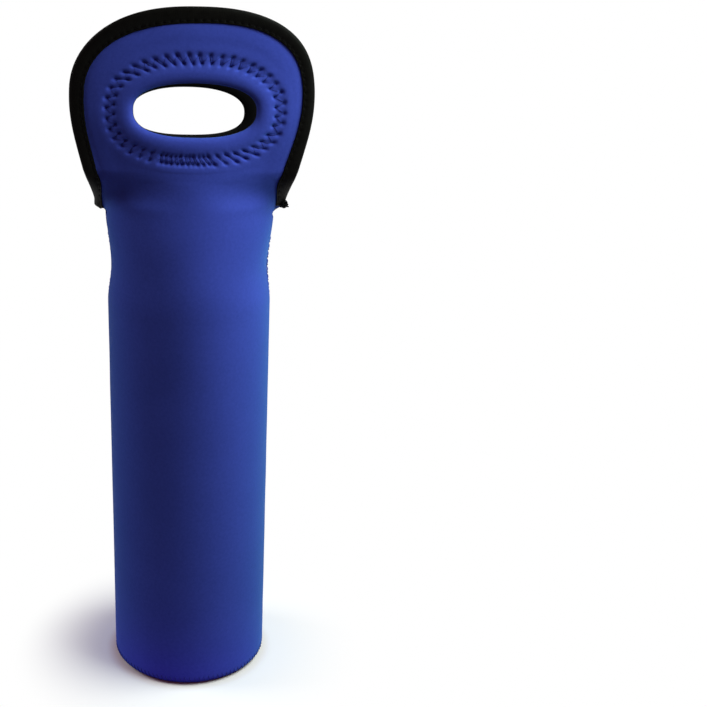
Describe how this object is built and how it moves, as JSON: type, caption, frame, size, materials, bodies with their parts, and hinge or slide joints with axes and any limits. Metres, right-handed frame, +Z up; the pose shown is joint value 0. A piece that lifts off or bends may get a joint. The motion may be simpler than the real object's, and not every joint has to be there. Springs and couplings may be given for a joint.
{
  "type": "bottle carrier",
  "caption": "Soft insulated carrier for a tall round bottle: a stretch foam-rubber sleeve with a flat round base and folding top flaps with oval grip holes and bound edges.",
  "frame": {"origin": "middle of the flat underside, on the surface that the carrier stands on", "axes": "+Z up along the sleeve, X across the flaps (the side seams lie at +X and -X), the front flap faces -Y"},
  "size_m": [0.1154, 0.0838, 0.3503],
  "materials": {
    "face_jersey": "smooth royal blue knit jersey laminated to foam rubber",
    "lining_jersey": "smooth black knit jersey laminated to foam rubber",
    "base_sheet": "blue jersey laminated to foam rubber, black inside",
    "binding_tape": "black stretch binding tape, matt",
    "seam_thread": "dark blue polyester thread",
    "edge_thread": "black polyester thread"
  },
  "bodies": {
    "sleeve": {"base_panel": "base_sheet", "base_seam": "seam_thread", "front_panel": "face_jersey", "back_panel": "face_jersey", "left_side_seam": "seam_thread", "right_side_seam": "seam_thread", "left_bar_tack": "edge_thread", "right_bar_tack": "edge_thread", "front_binding_ends": "binding_tape", "back_binding_ends": "binding_tape"},
    "front_flap": {"front_flap": "face_jersey", "front_lining": "lining_jersey", "front_binding": "binding_tape", "front_binding_stitching": "edge_thread", "front_grip_stitching": "seam_thread"},
    "back_flap": {"back_flap": "face_jersey", "back_lining": "lining_jersey", "back_binding": "binding_tape", "back_binding_stitching": "edge_thread", "back_grip_stitching": "seam_thread"}
  },
  "joints": [
    {"name": "front_flap_fold", "type": "hinge", "parent": "sleeve", "child": "front_flap", "pos_m": [0, -0.0335, 0.271], "axis": [1, 0, 0], "range_deg": [-12, 150]},
    {"name": "back_flap_fold", "type": "hinge", "parent": "sleeve", "child": "back_flap", "pos_m": [0, 0.0335, 0.271], "axis": [-1, 0, 0], "range_deg": [-12, 150]}
  ]
}
